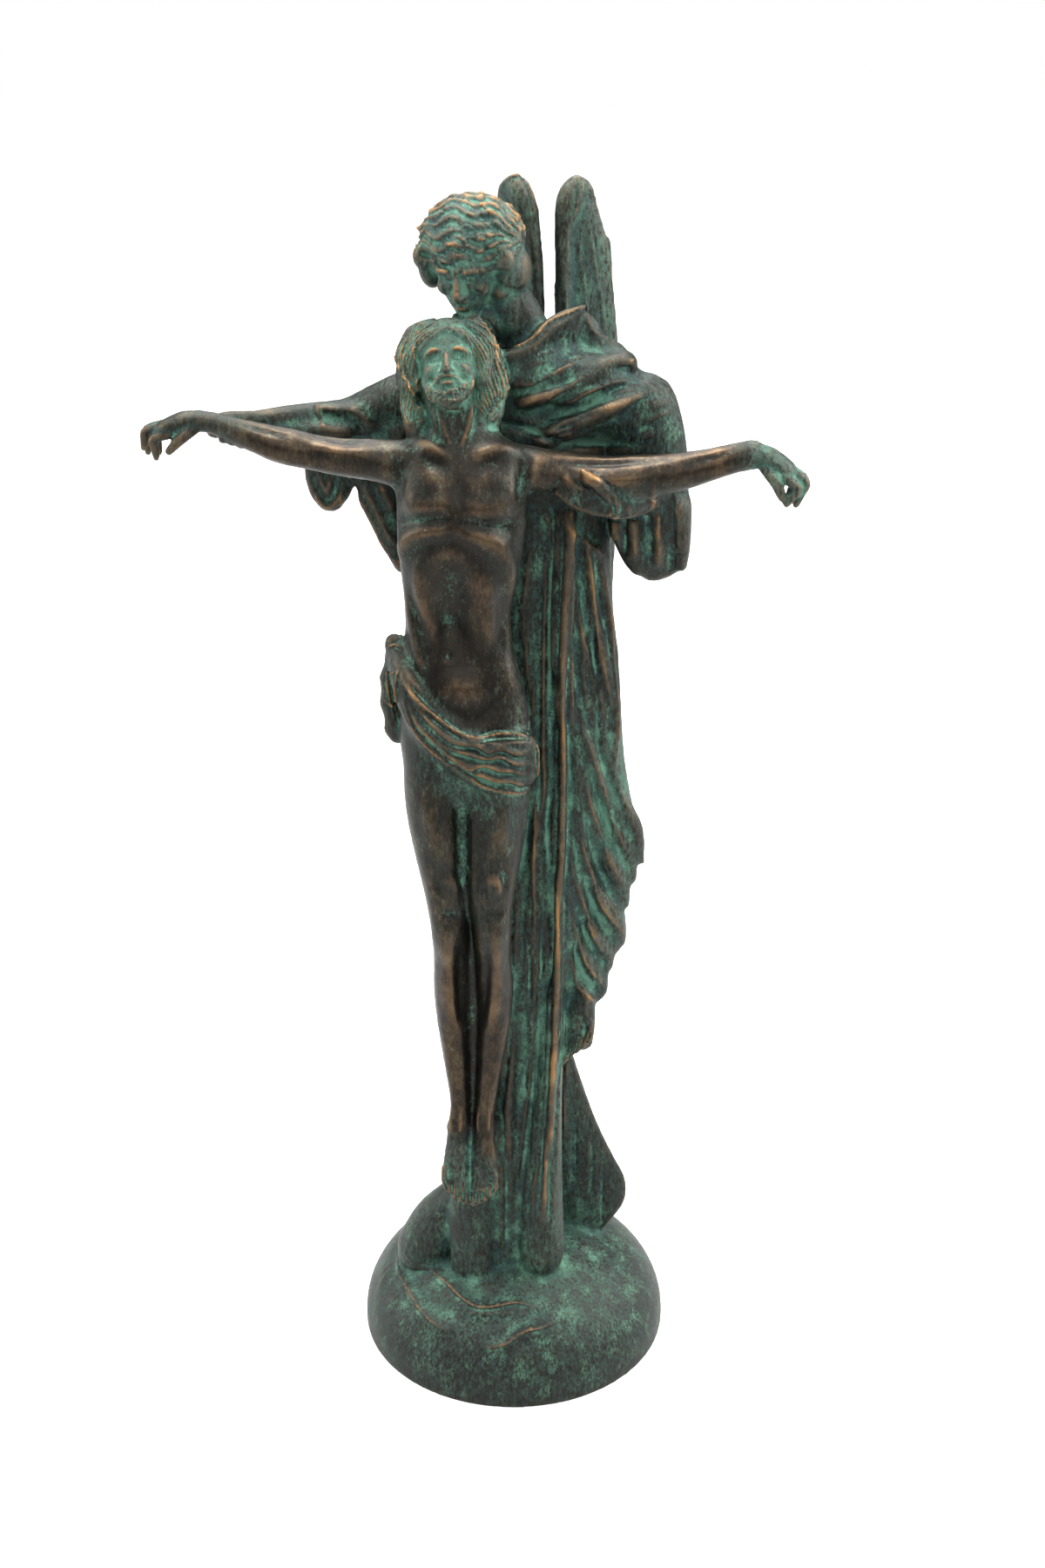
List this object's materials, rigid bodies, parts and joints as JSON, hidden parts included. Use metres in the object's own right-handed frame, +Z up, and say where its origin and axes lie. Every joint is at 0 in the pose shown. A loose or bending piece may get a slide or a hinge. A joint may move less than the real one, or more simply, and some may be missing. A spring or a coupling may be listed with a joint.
{
  "type": "jesus and angel statue",
  "caption": "Cast bronze statuette of a winged robed angel on a rounded mound, holding up a bearded man with outstretched arms.",
  "frame": {"origin": "middle of the flat underside of the mound", "axes": "+Z up, the figures face -Y, +X to the right as seen from the front"},
  "size_m": [0.2161, 0.1198, 0.45],
  "materials": {
    "bronze": "dark brown bronze, green verdigris in the hollows and worn golden edges, satin"
  },
  "bodies": {
    "root": {"statuette": "bronze"}
  },
  "joints": []
}
